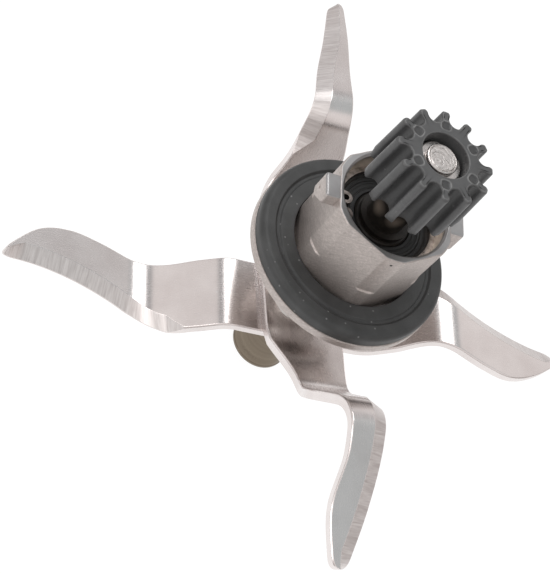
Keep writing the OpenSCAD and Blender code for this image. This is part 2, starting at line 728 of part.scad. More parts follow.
// Cap nut: a turned mushroom with a waisted stem, screwed onto the shaft
module cap_nut() {
    waist_z = cap_top_z - cap_foot_h;
    drop = waist_z - cap_waist_len - cap_rim_z;
    flare_r = (drop * drop + (cap_r - cap_waist_r) * (cap_r - cap_waist_r)) / (2 * (cap_r - cap_waist_r));
    dome_r = (cap_r * cap_r + cap_dome_h * cap_dome_h) / (2 * cap_dome_h);
    color(steel)
        difference() {
            union() {
                rotate_extrude()
                    difference() {
                        translate([0, cap_rim_z]) square([cap_r, cap_top_z - cap_rim_z]);
                        translate([cap_waist_r + flare_r, cap_rim_z + drop]) circle(r = flare_r);
                        translate([cap_waist_r, cap_rim_z + drop]) square([cap_r, waist_z - cap_rim_z - drop]);
                        translate([cap_foot_r, waist_z - past]) square([cap_r, cap_foot_h + 2 * past]);
                    }
                translate([0, 0, cap_rim_z - cap_rim_h]) cylinder(r = cap_r, h = cap_rim_h);
                intersection() {
                    translate([0, 0, cap_rim_z - cap_rim_h - cap_dome_h + dome_r]) sphere(r = dome_r);
                    translate([0, 0, cap_rim_z - cap_rim_h - cap_dome_h])
                        cylinder(r = cap_r, h = cap_dome_h);
                }
            }
            translate([0, 0, washer_z - thread_len - 0.5]) cylinder(r = thread_r, h = thread_len + past);
        }
}

bearing_housing();
jar_seal();
outer_race(gear_brg_z);  // gear_end_outer_race
inner_race(gear_brg_z);  // gear_end_inner_race
balls(gear_brg_z);  // gear_end_balls
cage(gear_brg_z);  // gear_end_cage
shields(gear_brg_z);  // gear_end_shields
outer_race(blade_brg_z);  // blade_end_outer_race
inner_race(blade_brg_z);  // blade_end_inner_race
balls(blade_brg_z);  // blade_end_balls
cage(blade_brg_z);  // blade_end_cage
shields(blade_brg_z);  // blade_end_shields
outer_spacer();
inner_spacer();
housing_retaining_ring();
shaft_retaining_ring();
shaft_seal_case();
shaft_seal_lip();
seal_garter_spring();
drive_shaft();
drive_gear();
rivet_washer();
seal_sleeve();
blade_collar();
flange_side_blade();
cap_side_blade();
blade_washer();
cap_nut();
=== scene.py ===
import bmesh
import bpy
import numpy as np
from mathutils import Matrix


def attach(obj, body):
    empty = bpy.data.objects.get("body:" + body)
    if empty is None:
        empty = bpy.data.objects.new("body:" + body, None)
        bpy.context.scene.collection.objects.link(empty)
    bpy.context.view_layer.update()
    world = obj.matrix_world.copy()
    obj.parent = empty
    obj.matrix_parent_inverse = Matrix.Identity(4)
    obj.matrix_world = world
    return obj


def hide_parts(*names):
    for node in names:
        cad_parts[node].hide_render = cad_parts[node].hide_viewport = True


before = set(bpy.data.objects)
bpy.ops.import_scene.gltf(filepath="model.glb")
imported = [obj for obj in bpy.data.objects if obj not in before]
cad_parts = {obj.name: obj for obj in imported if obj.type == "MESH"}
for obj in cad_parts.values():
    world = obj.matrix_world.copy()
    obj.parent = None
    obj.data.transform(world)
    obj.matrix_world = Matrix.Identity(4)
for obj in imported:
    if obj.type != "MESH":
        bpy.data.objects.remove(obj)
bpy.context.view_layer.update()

# Bearing housing: a flange and a hexagonal body in one steel casting, turned on its seat and
# bored for two ball bearings. The hexagon's corners are turned down to a ledge, and two bayonet
# lugs with a ramp on their underside stand out at the mouth. All sizes here are millimetres.
flange_r, flange_t, flange_slope = 20.5, 2.9, 1.1
body_r, foot_r, mouth_r, ledge_z, mouth_z = 13.3, 13.15, 12.85, 7.8, 19.7
flat_reach, flat_turn = 12.0, np.radians(-124.5)
bore_r, bearing_w, gear_bearing_z, blade_bearing_z = 11.0, 7.0, 7.3, -5.2
ring_z, ring_t, ring_groove = 14.3, 1.0, 0.4
neck_z, neck_r, seal_bore_r, web_bore_r = -14.2, 9.9, 8.0, 6.45
lug_reach, lug_edge, lug_turn = 15.0, 0.4, np.radians(-3)
lug_corners = [(-2.8, 14.35), (-0.8, 14.0), (2.45, 16.8), (2.45, 19.64), (-2.8, 19.64)]


def rounded(corners, radii, steps=5):
    """Rounds the corners of closed outlines. Each corner gives way to an arc that touches both
    of its sides: the arc's centre lies on the bisector, and its points are the two touching
    radii blended by the sines of the angles to them. A point just before and just after each
    arc keeps the shading of the flat sides flat."""
    corners = np.asarray(corners, float)
    back, ahead = np.roll(corners, 1, -2) - corners, np.roll(corners, -1, -2) - corners
    back_len = np.linalg.norm(back, axis=-1, keepdims=True) + 1e-9
    ahead_len = np.linalg.norm(ahead, axis=-1, keepdims=True) + 1e-9
    u, v = back / back_len, ahead / ahead_len
    cosine = np.clip((u * v).sum(-1, keepdims=True), -1 + 1e-7, 1 - 1e-7)
    half = np.arccos(cosine) / 2
    room = 0.45 * np.minimum(back_len, ahead_len)
    reach = np.minimum(np.asarray(radii, float)[..., None] / np.tan(half), room)
    radius = reach * np.tan(half)
    bisector = u + v
    bisector = bisector / (np.linalg.norm(bisector, axis=-1, keepdims=True) + 1e-12)
    centre = corners + bisector * radius / np.sin(half)
    start, end = corners + u * reach, corners + v * reach
    sweep = np.pi - 2 * half
    share = np.linspace(0, 1, steps)[:, None]
    arc = (np.sin((1 - share) * sweep[..., None, :]) * (start - centre)[..., None, :]
           + np.sin(share * sweep[..., None, :]) * (end - centre)[..., None, :])
    arc = centre[..., None, :] + arc / np.sin(sweep)[..., None, :]
    ease = 0.06 * np.minimum(back_len, ahead_len)
    before, after = start + u * ease, end + v * ease
    points = np.concatenate([before[..., None, :], arc, after[..., None, :]], -2)
    return points.reshape(*corners.shape[:-2], -1, 2)


def revolved(profile, steps=256):
    """Grid of a profile turned round the axis: the point (r, z) of the profile goes to
    (r cos a, r sin a, z) at each azimuth a. A profile may differ from azimuth to azimuth."""
    profile = np.asarray(profile, float)
    if profile.ndim == 3:
        steps = profile.shape[0]
    turn = np.arange(steps)[:, None] * 2 * np.pi / steps
    r, z = profile[..., 0], profile[..., 1]
    return np.stack(np.broadcast_arrays(r * np.cos(turn), r * np.sin(turn), z), -1)


def skin(points, round_rows=True, round_columns=True):
    """Corners and faces of a grid of points: one quad between each four neighbours. A way
    that goes round closes on itself."""
    rows, columns = points.shape[:2]
    index = np.arange(rows * columns).reshape(rows, columns)
    if round_rows:
        index = np.concatenate([index, index[:1]], 0)
    if round_columns:
        index = np.concatenate([index, index[:, :1]], 1)
    quads = np.stack([index[:-1, :-1], index[1:, :-1], index[1:, 1:], index[:-1, 1:]], -1)
    return points.reshape(-1, 3), quads.reshape(-1, 4)


def piece(name, skins, body, slot, *stands_for, sharp=50, marks=None):
    """One object of one or more skins, in metres, merged where corners meet, with smooth
    shading up to the sharp angle. It rides on a body and replaces the nodes it stands for.
    marks are values at its corners, by name: a number, or a vector of three."""
    counts = np.cumsum([0] + [len(each[0]) for each in skins])
    corners = np.concatenate([each[0] for each in skins]) * 0.001
    quads = np.concatenate([each[1] + first for each, first in zip(skins, counts)])
    mesh = bpy.data.meshes.new(name)
    mesh.from_pydata(corners.tolist(), [], quads.tolist())
    for key, values in (marks or {}).items():
        values = np.asarray(values, float)
        flat = values.size == len(corners)
        kept = mesh.attributes.new(key, "FLOAT" if flat else "FLOAT_VECTOR", "POINT")
        kept.data.foreach_set("value" if flat else "vector", values.ravel())
    made = bpy.data.objects.new(name, mesh)
    bpy.context.scene.collection.objects.link(made)
    merge(mesh)
    mesh.shade_smooth()
    mesh.set_sharp_from_angle(angle=np.radians(sharp))
    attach(made, body)
    if stands_for:
        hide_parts(*stands_for)
    return made


def merge(mesh):
    """Joins corners that coincide, so that seams and poles are closed."""
    work = bmesh.new()
    work.from_mesh(mesh)
    bmesh.ops.remove_doubles(work, verts=work.verts, dist=2e-7)
    work.to_mesh(mesh)
    work.free()


def node(tree, kind, sockets=(), **settings):
    """Adds a shader node. A socket's value is a constant, or another node's socket to link."""
    made = tree.nodes.new(kind)
    for key, value in settings.items():
        setattr(made, key, value)
    for key, value in dict(sockets).items():
        if isinstance(value, bpy.types.NodeSocket):
            tree.links.new(value, made.inputs[key])
        else:
            made.inputs[key].default_value = value
    return made


def noise(tree, place, scale, detail=3.0, roughness=0.55):
    """A smooth random value from 0 to 1 at each place, with features about 1 / scale metres."""
    return node(tree, "ShaderNodeTexNoise", {
        "Vector": place, "Scale": scale, "Detail": detail, "Roughness": roughness}).outputs["Fac"]


def ramp(tree, value, low, high, to_low=0.0, to_high=1.0):
    """Straight line from to_low, where value is low or less, to to_high, where it is high."""
    return node(tree, "ShaderNodeMapRange", {
        "Value": value, "From Min": low, "From Max": high,
        "To Min": to_low, "To Max": to_high}).outputs["Result"]


def blend_colours(tree, share, first, second):
    """Blend of two colours: first times (1 - share) plus second times share."""
    made = node(tree, "ShaderNodeMix", data_type="RGBA")
    for socket, value in ((0, share), (6, first), (7, second)):
        if isinstance(value, bpy.types.NodeSocket):
            tree.links.new(value, made.inputs[socket])
        elif socket == 0:
            made.inputs[socket].default_value = value
        else:
            made.inputs[socket].default_value = (*value, 1.0)
    return made.outputs[2]


def start_finish(name, metallic):
    """A new material with its surface shader, and the object's own coordinates."""
    made = bpy.data.materials.new(name)
    made.use_nodes = True
    tree = made.node_tree
    tree.nodes.clear()
    surface = node(tree, "ShaderNodeBsdfPrincipled", {"Metallic": metallic})
    output = node(tree, "ShaderNodeOutputMaterial")
    tree.links.new(surface.outputs["BSDF"], output.inputs["Surface"])
    place = node(tree, "ShaderNodeTexCoord").outputs["Object"]
    return made, tree, surface, place


def relief(tree, surface, heights):
    """Chains bumps onto a surface; each is a height socket, its strength and its depth."""
    normal = None
    for height, strength, depth in heights:
        sockets = {"Height": height, "Strength": strength, "Distance": depth}
        if normal is not None:
            sockets["Normal"] = normal
        normal = node(tree, "ShaderNodeBump", sockets).outputs["Normal"]
    tree.links.new(normal, surface.inputs["Normal"])


def cast_finish(name, light, dark, rough):
    """Blasted casting: fine grain, faint ripples across the flats, clouds of tone and a few dark
    specks. The turned attribute swaps it for a smooth turned finish, painted pale tan in the
    bore as painted light on its shaded wall."""
    made, tree, surface, place = start_finish(name, 0.75)
    grain = noise(tree, place, 2600.0, 4.0, 0.7)
    cloud = noise(tree, place, 170.0, 2.0)
    speck = ramp(tree, noise(tree, place, 1300.0, 1.0), 0.68, 0.74)
    across_flat = (0.824, -0.566, 0.0)
    along = node(tree, "ShaderNodeVectorMath", {0: place, 1: across_flat}, operation="DOT_PRODUCT")
    up = node(tree, "ShaderNodeSeparateXYZ", {"Vector": place}).outputs["Z"]
    tilted = node(tree, "ShaderNodeCombineXYZ", {"X": along.outputs["Value"], "Y": up}).outputs[0]
    tilted = node(tree, "ShaderNodeMapping", {"Vector": tilted, "Rotation": (0, 0, -0.69)}).outputs[0]
    tilted = node(tree, "ShaderNodeMapping", {"Vector": tilted, "Scale": (0.2, 1.0, 1.0)}).outputs[0]
    ripple = noise(tree, tilted, 2700.0, 2.0, 0.5)
    tone = blend_colours(tree, ramp(tree, grain, 0.3, 0.7), dark, light)
    tone = blend_colours(tree, ramp(tree, cloud, 0.35, 0.7, 0.0, 0.35), tone, light)
    tone = blend_colours(tree, ramp(tree, ripple, 0.35, 0.65, 0.0, 0.55), tone, dark)
    tone = blend_colours(tree, ramp(tree, speck, 0.0, 1.0, 0.0, 0.5), tone, dark)
    pit_at = (-0.00112, -0.0128, 0.01805)
    from_pit = node(tree, "ShaderNodeVectorMath", {0: place, 1: pit_at}, operation="DISTANCE")
    pit = ramp(tree, from_pit.outputs["Value"], 0.0002, 0.00034, 1.0, 0.0)
    tone = blend_colours(tree, pit, tone, (0.03, 0.03, 0.03))
    turned = node(tree, "ShaderNodeAttribute", attribute_name="turned").outputs["Fac"]
    rings = noise(tree, node(tree, "ShaderNodeCombineXYZ", {"Z": up}).outputs[0], 2400.0, 3.0)
    # painted light: the bore wall below the mouth gets a near-white tan that brightens it where it lies in
    # shade; above it the turned rim stays grey
    tan = blend_colours(tree, ramp(tree, rings, 0.35, 0.65), (0.74, 0.66, 0.56), (0.95, 0.87, 0.77))
    bright = blend_colours(tree, ramp(tree, cloud, 0.35, 0.65), (0.36, 0.35, 0.35), (0.48, 0.475, 0.475))
    bright = blend_colours(tree, ramp(tree, up, 0.0185, 0.0191), tan, bright)
    tree.links.new(blend_colours(tree, turned, tone, bright), surface.inputs["Base Color"])
    dull = ramp(tree, grain, 0.3, 0.7, rough + 0.1, rough - 0.05)
    gloss = ramp(tree, cloud, 0.3, 0.7, 0.36, 0.28)
    smooth = node(tree, "ShaderNodeMix", {0: turned, 2: dull, 3: gloss}).outputs[0]
    tree.links.new(smooth, surface.inputs["Roughness"])
    blasted = ramp(tree, turned, 0.0, 1.0, 0.4, 0.0)
    relief(tree, surface, [(grain, blasted, 0.00006), (ripple, blasted, 0.00009), (cloud, 0.15, 0.0001)])
    return made


def hexagon_r(turn, circle_r, soft=0.045):
    """Distance from the axis to a hexagon whose corners a circle cuts off. It is the least of
    the flats' and the circle's distances, eased by a soft minimum: -soft log sum exp(-d / soft)."""
    away = np.cos(turn[:, None] - flat_turn - np.arange(6) * np.pi / 3)
    near = np.column_stack([flat_reach / np.maximum(away, 0.5), np.full(len(turn), circle_r)])
    least = near.min(1)
    return least - soft * np.log(np.exp(-(near - least[:, None]) / soft).sum(1))


# each row of a profile is a distance from the axis, a height and how far the corner is rounded
housing_steps, corner_steps = 600, 5
per_corner = corner_steps + 2
housing_turns = np.arange(housing_steps) * 2 * np.pi / housing_steps
housing_profile = np.array([
    (flange_r - flange_slope, -flange_t, 0.3), (flange_r, -flange_t + flange_slope, 0.3),
    (flange_r, 0, 0.25), (foot_r, 0, 0.3), (foot_r, ledge_z - 0.2, 0.15), (mouth_r, ledge_z, 0.15),
    (mouth_r, mouth_z, 0.32), (bore_r + 0.45, mouth_z, 0.15), (bore_r, mouth_z - 0.45, 0.15),
    (bore_r, ring_z + ring_t, 0.05), (bore_r + ring_groove, ring_z + ring_t, 0.05),
    (bore_r + ring_groove, ring_z, 0.05), (bore_r, ring_z, 0.05),
    (bore_r, blade_bearing_z, 0.2), (web_bore_r, blade_bearing_z, 0.2),
    (web_bore_r, blade_bearing_z - 2, 0.2), (seal_bore_r, blade_bearing_z - 2, 0.2),
    (seal_bore_r, neck_z, 0.2), (neck_r, neck_z, 0.3), (neck_r, neck_z + 1, 0.4),
    (body_r, neck_z + 6, 0.5), (body_r, -flange_t, 0.4)])
housing_shape = np.tile(housing_profile[:, :2], (housing_steps, 1, 1))
housing_shape[:, 3:5, 0] = hexagon_r(housing_turns, foot_r)[:, None]
housing_shape[:, 5:7, 0] = hexagon_r(housing_turns, mouth_r)[:, None]
housing_grid = revolved(rounded(housing_shape, housing_profile[:, 2], corner_steps))
housing_turned = np.zeros(housing_grid.shape[:2])
turned_from, turned_to = 6 * per_corner + 5, 14 * per_corner
housing_turned[:, turned_from:turned_to] = 1


def lug_skin(turn):
    """Section of a lug, as distances across it and heights, carried outwards. Over the last
    lug_edge the section draws in by a quarter circle, which rounds the edges of the end face.
    The end face follows the circle of lug_reach, and a small punch mark is sunk into it."""
    section = rounded(lug_corners, np.array([0.3, 0.8, 0.5, 0.22, 0.3]), corner_steps)
    angle = np.linspace(0, np.pi / 2, 6)
    reach = np.concatenate([[bore_r + 0.5, flat_reach, lug_reach - lug_edge - 0.1],
                            lug_reach - lug_edge + lug_edge * np.sin(angle), [lug_reach, lug_reach],
                            lug_reach - np.array([0.12, 0.3, 0.32])])
    inset = np.concatenate([[0, 0, 0], lug_edge * (1 - np.cos(angle))])
    middle, mark = section.mean(0), np.array([-0.95, 16.9])
    half = np.abs(section - middle).max(0)
    rings = middle + (section - middle) * (1 - inset[:, None, None] / half)
    ends = mark + (rings[-1] - mark) * np.array([0.94, 0.2, 0.17, 0.09, 0.0])[:, None, None]
    rings = np.concatenate([rings, ends])
    across = rings[..., 0]
    along = reach[:, None] - lug_reach + np.sqrt(lug_reach ** 2 - across ** 2)
    points = np.stack([along * np.cos(turn) - across * np.sin(turn),
                       along * np.sin(turn) + across * np.cos(turn), rings[..., 1]], -1)
    return skin(points, round_rows=False)


lugs = [lug_skin(lug_turn), lug_skin(lug_turn + np.pi)]
lug_turned = np.zeros(len(lugs[0][0])).reshape(-1, len(lug_corners) * per_corner)
lug_turned[:8, 3 * per_corner + 2:4 * per_corner + 5] = 1
housing_marks = np.concatenate([housing_turned.ravel(), lug_turned.ravel(), lug_turned.ravel()])
housing = piece("housing_casting", [skin(housing_grid), *lugs], "housing", "cast_steel", "bearing_housing",
                marks={"turned": housing_marks})
housing.data.materials.append(cast_finish("cast_steel", (0.62, 0.56, 0.53), (0.38, 0.34, 0.32), 0.42))

# Jar seal: a moulded rubber ring that lies on the flange. A fine groove parts its outer bead
# from the inner lip, which is stretched round the hexagon's corners and leaves its flats free.
seal_r, seal_h, seal_round, seal_inner_r, groove_r = 20.3, 3.1, 1.5, 13.2, 16.6
seal_profile = np.array([
    (seal_r, 0.02, 0.2), (seal_r, seal_h, seal_round), (groove_r + 0.75, seal_h, 0.25),
    (groove_r + 0.3, 2.6, 0.15), (groove_r - 0.25, 2.6, 0.12), (groove_r - 0.6, 2.95, 0.25),
    (seal_inner_r, 3.0, 0.2), (seal_inner_r, 0.02, 0.2)])
seal_shape = rounded(seal_profile[:, :2], seal_profile[:, 2], 8)


def rubber_finish(name, tone, rough, specks):
    """Moulded rubber: matt, with faint clouds of tone, fine tooth marks and pale dust specks."""
    made, tree, surface, place = start_finish(name, 0.0)
    cloud = noise(tree, place, 220.0, 2.0)
    tooth = noise(tree, place, 3800.0, 3.0, 0.7)
    dust = node(tree, "ShaderNodeTexVoronoi", {"Vector": place, "Scale": 420.0}).outputs["Distance"]
    dust = ramp(tree, dust, 0.1, 0.05, 0.0, specks)
    pale, deep = tuple(1.25 * c for c in tone), tuple(0.8 * c for c in tone)
    colour = blend_colours(tree, ramp(tree, cloud, 0.3, 0.7), deep, pale)
    colour = blend_colours(tree, dust, colour, (0.4, 0.4, 0.4))
    tree.links.new(colour, surface.inputs["Base Color"])
    tree.links.new(ramp(tree, tooth, 0.3, 0.7, rough - 0.06, rough + 0.08), surface.inputs["Roughness"])
    surface.inputs["Specular IOR Level"].default_value = 0.45
    relief(tree, surface, [(tooth, 0.25, 0.00004), (cloud, 0.15, 0.00015)])
    return made


seal = piece("jar_seal_ring", [skin(revolved(seal_shape, 320))], "housing", "seal_rubber", "jar_seal")
seal.data.materials.append(rubber_finish("seal_rubber", (0.042, 0.043, 0.043), 0.5, 0.35))

# Bearings: two sealed ball bearings, pressed in from the mouth, each with ground rings, seven
# balls in a moulded cage, and a rubber shield with moulded beads on each side.
race_r, shield_edge_r, shield_t, shield_inset = 5.95, 9.15, 0.5, 0.25


def turned_finish(name, light, dark, rough, lines, metallic=1.0):
    """Turned and ground steel: fine rings round the axis, which follow only the distance from
    the axis and the height along it, with softer clouds of tone."""
    made, tree, surface, place = start_finish(name, metallic)
    split = node(tree, "ShaderNodeSeparateXYZ", {"Vector": place})
    flat = node(tree, "ShaderNodeCombineXYZ", {"X": split.outputs["X"], "Y": split.outputs["Y"]}).outputs[0]
    reach = node(tree, "ShaderNodeVectorMath", {0: flat}, operation="LENGTH").outputs["Value"]
    rings = node(tree, "ShaderNodeCombineXYZ", {"X": reach, "Z": split.outputs["Z"]}).outputs[0]
    line = noise(tree, rings, lines, 3.0, 0.6)
    cloud = noise(tree, place, 260.0, 2.0)
    grain = noise(tree, place, 3000.0, 2.0)
    tone = blend_colours(tree, ramp(tree, line, 0.3, 0.7), dark, light)
    tone = blend_colours(tree, ramp(tree, cloud, 0.3, 0.7, 0.0, 0.3), tone, dark)
    tree.links.new(tone, surface.inputs["Base Color"])
    tree.links.new(ramp(tree, grain, 0.3, 0.7, rough - 0.05, rough + 0.08), surface.inputs["Roughness"])
    relief(tree, surface, [(line, 0.2, 0.00003), (grain, 0.1, 0.00003)])
    return made


bearing_steel = turned_finish("bearing_steel", (0.66, 0.66, 0.67), (0.5, 0.5, 0.51), 0.16, 4200.0)
turned_steel = turned_finish("turned_steel", (0.6, 0.57, 0.55), (0.42, 0.39, 0.37), 0.3, 3000.0)
black_rubber = rubber_finish("black_rubber", (0.009, 0.009, 0.009), 0.38, 0.0)


def shield_skin(low, up):
    """Profile of one shield, from its running edge to the edge that snaps into the outer ring,
    with two round beads pressed into its outer face. up is 1 where that face is the upper one."""
    inner, outer, back = race_r + 0.12, shield_edge_r + 0.3, low if up > 0 else low + shield_t
    reach = np.linspace(inner, outer, 60)
    beads = sum(np.exp(-((reach - at) / width) ** 4) * depth
                for at, width, depth in ((6.95, 0.16, 0.14), (7.9, 0.12, 0.07), (8.55, 0.16, 0.14)))
    ease = np.minimum(1, np.minimum(reach - inner, outer - reach) / 0.12)
    face = back + up * (shield_t - beads - 0.1 * (1 - np.sqrt(1 - (1 - ease) ** 2)))
    section = np.concatenate([np.column_stack([reach, face]), [[outer, back], [inner, back]]])
    return skin(revolved(section[::-1] if up > 0 else section, 192))


shields = [shield_skin(z + above, up) for z in (gear_bearing_z, blade_bearing_z)
           for above, up in ((shield_inset, -1), (bearing_w - shield_inset - shield_t, 1))]
gear_shields = piece("gear_end_shield_rings", shields[:2], "housing", "black_rubber", "gear_end_shields")
blade_shields = piece("blade_end_shield_rings", shields[2:], "housing", "black_rubber", "blade_end_shields")
for shield in (gear_shields, blade_shields):
    shield.data.materials.append(black_rubber)


def dress(finish, *names):
    """Gives CAD nodes a finish in place of their plain colour."""
    for name in names:
        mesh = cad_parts[name].data
        mesh.materials.clear()
        mesh.materials.append(finish)


def moulded_finish(name, tone, rough, edge_tone=None):
    """Moulded plastic: satin, with a faint orange peel and tone clouds. Where an edge tone is
    given, an edge attribute makes edges and mark rims paler, by wear and painted highlight, and
    mark floors darker; the deep attribute paints shade into the valleys between teeth."""
    made, tree, surface, place = start_finish(name, 0.0)
    cloud = noise(tree, place, 240.0, 3.0)
    peel = noise(tree, place, 1900.0, 2.0)
    pale, dark = tuple(1.15 * c for c in tone), tuple(0.85 * c for c in tone)
    colour = blend_colours(tree, ramp(tree, cloud, 0.3, 0.7), dark, pale)
    if edge_tone:
        # wear and painted highlight: the edge attribute pales edges and raised mark rims, partly as wear and
        # partly as painted highlight; its negative values darken the mark floors
        wear_and_highlight = node(tree, "ShaderNodeAttribute", attribute_name="edge_wear_and_highlight").outputs["Fac"]
        patchy = ramp(tree, noise(tree, place, 320.0, 3.0), 0.35, 0.65, 0.3, 1.0)
        pale_share = node(tree, "ShaderNodeMath", {0: wear_and_highlight, 1: patchy}, operation="MULTIPLY").outputs[0]
        # painted shade: the deep attribute darkens the valleys between the teeth toward near black
        deep = node(tree, "ShaderNodeAttribute", attribute_name="deep").outputs["Fac"]
        colour = blend_colours(tree, ramp(tree, deep, 0.2, 1.0, 0.0, 0.75), colour, (0.015, 0.015, 0.015))
        scuff = ramp(tree, noise(tree, place, 900.0, 4.0, 0.7), 0.64, 0.72, 0.0, 0.3)
        colour = blend_colours(tree, scuff, colour, edge_tone)
        colour = blend_colours(tree, ramp(tree, wear_and_highlight, 0.0, -1.0, 0.0, 0.55), colour, (0.02, 0.02, 0.02))
        colour = blend_colours(tree, ramp(tree, pale_share, 0.0, 1.0), colour, edge_tone)
    tree.links.new(colour, surface.inputs["Base Color"])
    tree.links.new(ramp(tree, peel, 0.3, 0.7, rough - 0.05, rough + 0.07), surface.inputs["Roughness"])
    relief(tree, surface, [(peel, 0.12, 0.00006), (cloud, 0.15, 0.0001)])
    return made


def painted_shade_finish(name):
    """Steel painted nearly black as painted shade for parts inside the bore, with two soft tan
    patches of painted reflection on the side of the shaft that shows below the gear."""
    made, tree, surface, place = start_finish(name, 0.3)
    shade_mottle = noise(tree, place, 420.0, 3.0)
    tone = blend_colours(tree, ramp(tree, shade_mottle, 0.3, 0.7), (0.008, 0.007, 0.006), (0.03, 0.025, 0.021))
    # painted reflection: the two tan patches sit where the shaft, seen between the teeth, reflects the pale
    # bore wall
    for patch in ((-0.00382, -0.0012, 0.0193), (-0.00046, -0.00397, 0.0193)):
        apart = node(tree, "ShaderNodeVectorMath", {0: place, 1: patch}, operation="DISTANCE")
        pale_share = ramp(tree, apart.outputs["Value"], 0.0004, 0.0022, 0.5, 0.0)
        tone = blend_colours(tree, pale_share, tone, (0.36, 0.3, 0.25))
    tree.links.new(tone, surface.inputs["Base Color"])
    tree.links.new(ramp(tree, shade_mottle, 0.3, 0.7, 0.5, 0.32), surface.inputs["Roughness"])
    relief(tree, surface, [(shade_mottle, 0.3, 0.0001)])
    return made


painted_shade_steel = painted_shade_finish("painted_shade_steel")
# painted shade: the gear-end races and the small retaining ring lie inside the bore and are painted nearly
# black
dress(painted_shade_steel, "gear_end_outer_race", "gear_end_inner_race", "shaft_retaining_ring")
dress(bearing_steel, "gear_end_balls", "blade_end_outer_race", "blade_end_inner_race", "blade_end_balls")
dress(moulded_finish("cage_plastic", (0.5, 0.38, 0.2), 0.45), "gear_end_cage", "blade_end_cage")
dress(turned_steel, "outer_spacer", "inner_spacer")

# Retaining rings: stamped from spring steel. The large one is sprung into the groove above
# the bearing and has an eyed ear on each side of its gap; the small one grips the shaft, and
# its near-black tone is painted shade. Both keep the shape of their solids.


def stamped_finish(name, light, dark, rough):
    """Stamped and tumbled steel: satin, with tiny dents and a slight oil tint."""
    made, tree, surface, place = start_finish(name, 1.0)
    dent = noise(tree, place, 900.0, 2.0)
    grain = noise(tree, place, 3400.0, 3.0)
    tree.links.new(blend_colours(tree, ramp(tree, dent, 0.3, 0.7), dark, light), surface.inputs["Base Color"])
    tree.links.new(ramp(tree, grain, 0.3, 0.7, rough - 0.06, rough + 0.08), surface.inputs["Roughness"])
    relief(tree, surface, [(dent, 0.2, 0.00008), (grain, 0.15, 0.00003)])
    return made


spring_steel = stamped_finish("spring_steel", (0.46, 0.4, 0.37), (0.18, 0.155, 0.14), 0.34)
dress(spring_steel, "housing_retaining_ring")

# Shaft seal: a pressed steel case with a rubber lip that a wire spring draws onto the
# hardened sleeve; pressed into the neck from the blade side.
dress(turned_steel, "shaft_seal_case")
dress(black_rubber, "shaft_seal_lip")
dress(bearing_steel, "seal_garter_spring", "seal_sleeve")

# Drive shaft: turned steel, flatted at both ends. Its upper end is riveted over inside the
# gear, which leaves a bright raised rim round a tool-marked face; its lower end is threaded.
shaft_r, flats_half, thread_r, thread_end_z = 4.0, 3.0, 3.0, -34.3
rivet_r, rivet_neck_r, rivet_z, rivet_h = 3.22, 2.6, 36.75, 1.2
gear_flats_turn, recess_z, boss_z, bearing_top = np.radians(-37.5), 34.4, 24.1, 14.3
blade_top_z, washer_z, shaft_steps = -20.8, -24.8, 192
rivet_low_z = rivet_z - rivet_h
shaft_profile = np.array([
    (0, thread_end_z, 0.01), (thread_r, thread_end_z, 0.3), (thread_r, washer_z + 0.3, 0.05),
    (shaft_r, washer_z + 0.3, 0.05), (shaft_r, blade_top_z, 0.01), (shaft_r, ring_z, 0.01),
    (shaft_r - 0.4, ring_z, 0.02), (shaft_r - 0.4, ring_z + 1, 0.02), (shaft_r, ring_z + 1, 0.02),
    (shaft_r, boss_z, 0.01), (shaft_r, recess_z - 0.3, 0.05), (rivet_neck_r, recess_z - 0.3, 0.05),
    (rivet_neck_r, rivet_low_z, 0.05), (rivet_r, rivet_low_z, 0.2), (rivet_r, rivet_z - 0.25, 0.3),
    (rivet_r - 0.35, rivet_z - 0.1, 0.1), (rivet_r - 0.42, rivet_z - 0.22, 0.06),
    (rivet_r - 0.6, rivet_z, 0.1), (0, rivet_z, 0.01)])
shaft_shape = rounded(shaft_profile[:, :2], shaft_profile[:, 2], 5)
shaft_shape[:, 0] = np.maximum(shaft_shape[:, 0], 0)
shaft_shape = shaft_shape[:-1]
shaft_shape[0, 0] = shaft_shape[-1, 0] = 0
shaft_grid = np.tile(shaft_shape, (shaft_steps, 1, 1))
shaft_turn = np.arange(shaft_steps) * 2 * np.pi / shaft_steps
for flats_turn, low, high in ((gear_flats_turn, boss_z, recess_z), (0.0, washer_z, blade_top_z)):
    flat_r = flats_half / np.maximum(np.abs(np.sin(shaft_turn - flats_turn)), 0.5)
    inside = (shaft_grid[..., 1] > low) & (shaft_grid[..., 1] < high)
    flatted_r = np.minimum(shaft_grid[..., 0], flat_r[:, None])
    shaft_grid[..., 0] = np.where(inside, flatted_r, shaft_grid[..., 0])


